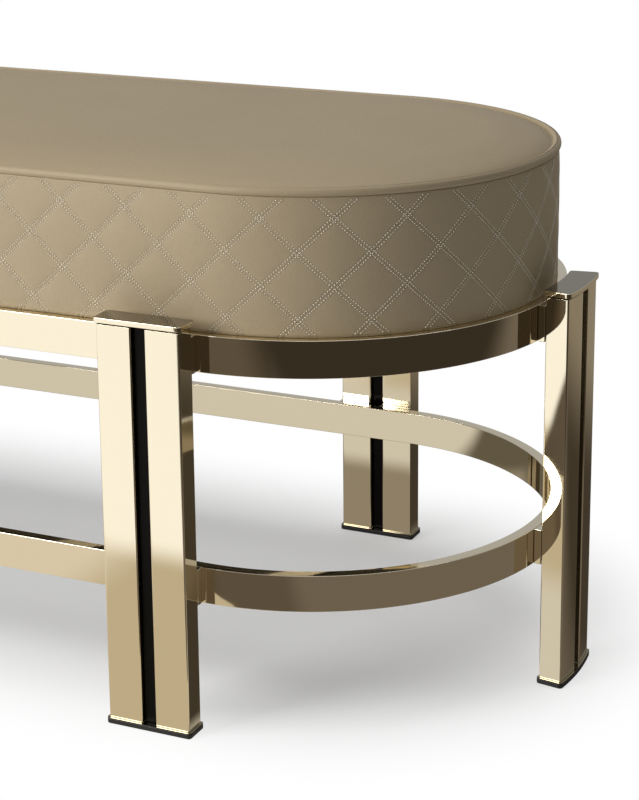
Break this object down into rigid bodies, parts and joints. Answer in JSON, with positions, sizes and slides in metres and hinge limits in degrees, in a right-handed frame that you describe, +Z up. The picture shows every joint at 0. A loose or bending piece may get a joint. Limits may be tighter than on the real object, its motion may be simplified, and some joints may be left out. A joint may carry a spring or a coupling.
{
  "type": "hotel luggage bench",
  "caption": "Long upholstered bench with round ends: a crowned leather seat with a diamond-stitched side band, on polished metal rings and twin-tube legs.",
  "frame": {"origin": "on the floor, under the middle of the bench", "axes": "+X along the length towards the end on the right of the picture, +Y towards the back, +Z up"},
  "size_m": [1.2, 0.482, 0.4506],
  "materials": {
    "polished_metal": "mirror-polished champagne",
    "dark_strip": "satin black lacquer",
    "dark_foot": "dark foot plate",
    "plain_steel": "plain",
    "leather": "smooth taupe leather",
    "seat_foam": "open-cell foam",
    "plywood": "bare"
  },
  "bodies": {
    "root": {"front_left_leg_tube_a": "polished_metal", "front_left_leg_tube_b": "polished_metal", "front_left_leg_strip": "dark_strip", "front_left_leg_cap": "polished_metal", "front_left_leg_foot": "dark_foot", "front_left_leg_lower_spacer": "polished_metal", "front_left_leg_upper_spacer": "polished_metal", "front_right_leg_tube_a": "polished_metal", "front_right_leg_tube_b": "polished_metal", "front_right_leg_strip": "dark_strip", "front_right_leg_cap": "polished_metal", "front_right_leg_foot": "dark_foot", "front_right_leg_lower_spacer": "polished_metal", "front_right_leg_upper_spacer": "polished_metal", "back_left_leg_tube_a": "polished_metal", "back_left_leg_tube_b": "polished_metal", "back_left_leg_strip": "dark_strip", "back_left_leg_cap": "polished_metal", "back_left_leg_foot": "dark_foot", "back_left_leg_lower_spacer": "polished_metal", "back_left_leg_upper_spacer": "polished_metal", "back_right_leg_tube_a": "polished_metal", "back_right_leg_tube_b": "polished_metal", "back_right_leg_strip": "dark_strip", "back_right_leg_cap": "polished_metal", "back_right_leg_foot": "dark_foot", "back_right_leg_lower_spacer": "polished_metal", "back_right_leg_upper_spacer": "polished_metal", "left_end_leg_tube_a": "polished_metal", "left_end_leg_tube_b": "polished_metal", "left_end_leg_strip": "dark_strip", "left_end_leg_cap": "polished_metal", "left_end_leg_foot": "dark_foot", "left_end_leg_lower_spacer": "polished_metal", "left_end_leg_upper_spacer": "polished_metal", "right_end_leg_tube_a": "polished_metal", "right_end_leg_tube_b": "polished_metal", "right_end_leg_strip": "dark_strip", "right_end_leg_cap": "polished_metal", "right_end_leg_foot": "dark_foot", "right_end_leg_lower_spacer": "polished_metal", "right_end_leg_upper_spacer": "polished_metal", "lower_ring": "polished_metal", "upper_ring": "polished_metal", "seat_rail_1": "plain_steel", "seat_rail_2": "plain_steel", "seat_rail_3": "plain_steel", "seat_screw_1": "plain_steel", "seat_screw_2": "plain_steel", "seat_screw_3": "plain_steel", "seat_screw_4": "plain_steel", "seat_screw_5": "plain_steel", "seat_screw_6": "plain_steel", "seat_board": "plywood", "seat_foam": "seat_foam", "seat_top_panel": "leather", "seat_side_band": "leather", "seat_piping": "leather"}
  },
  "joints": []
}
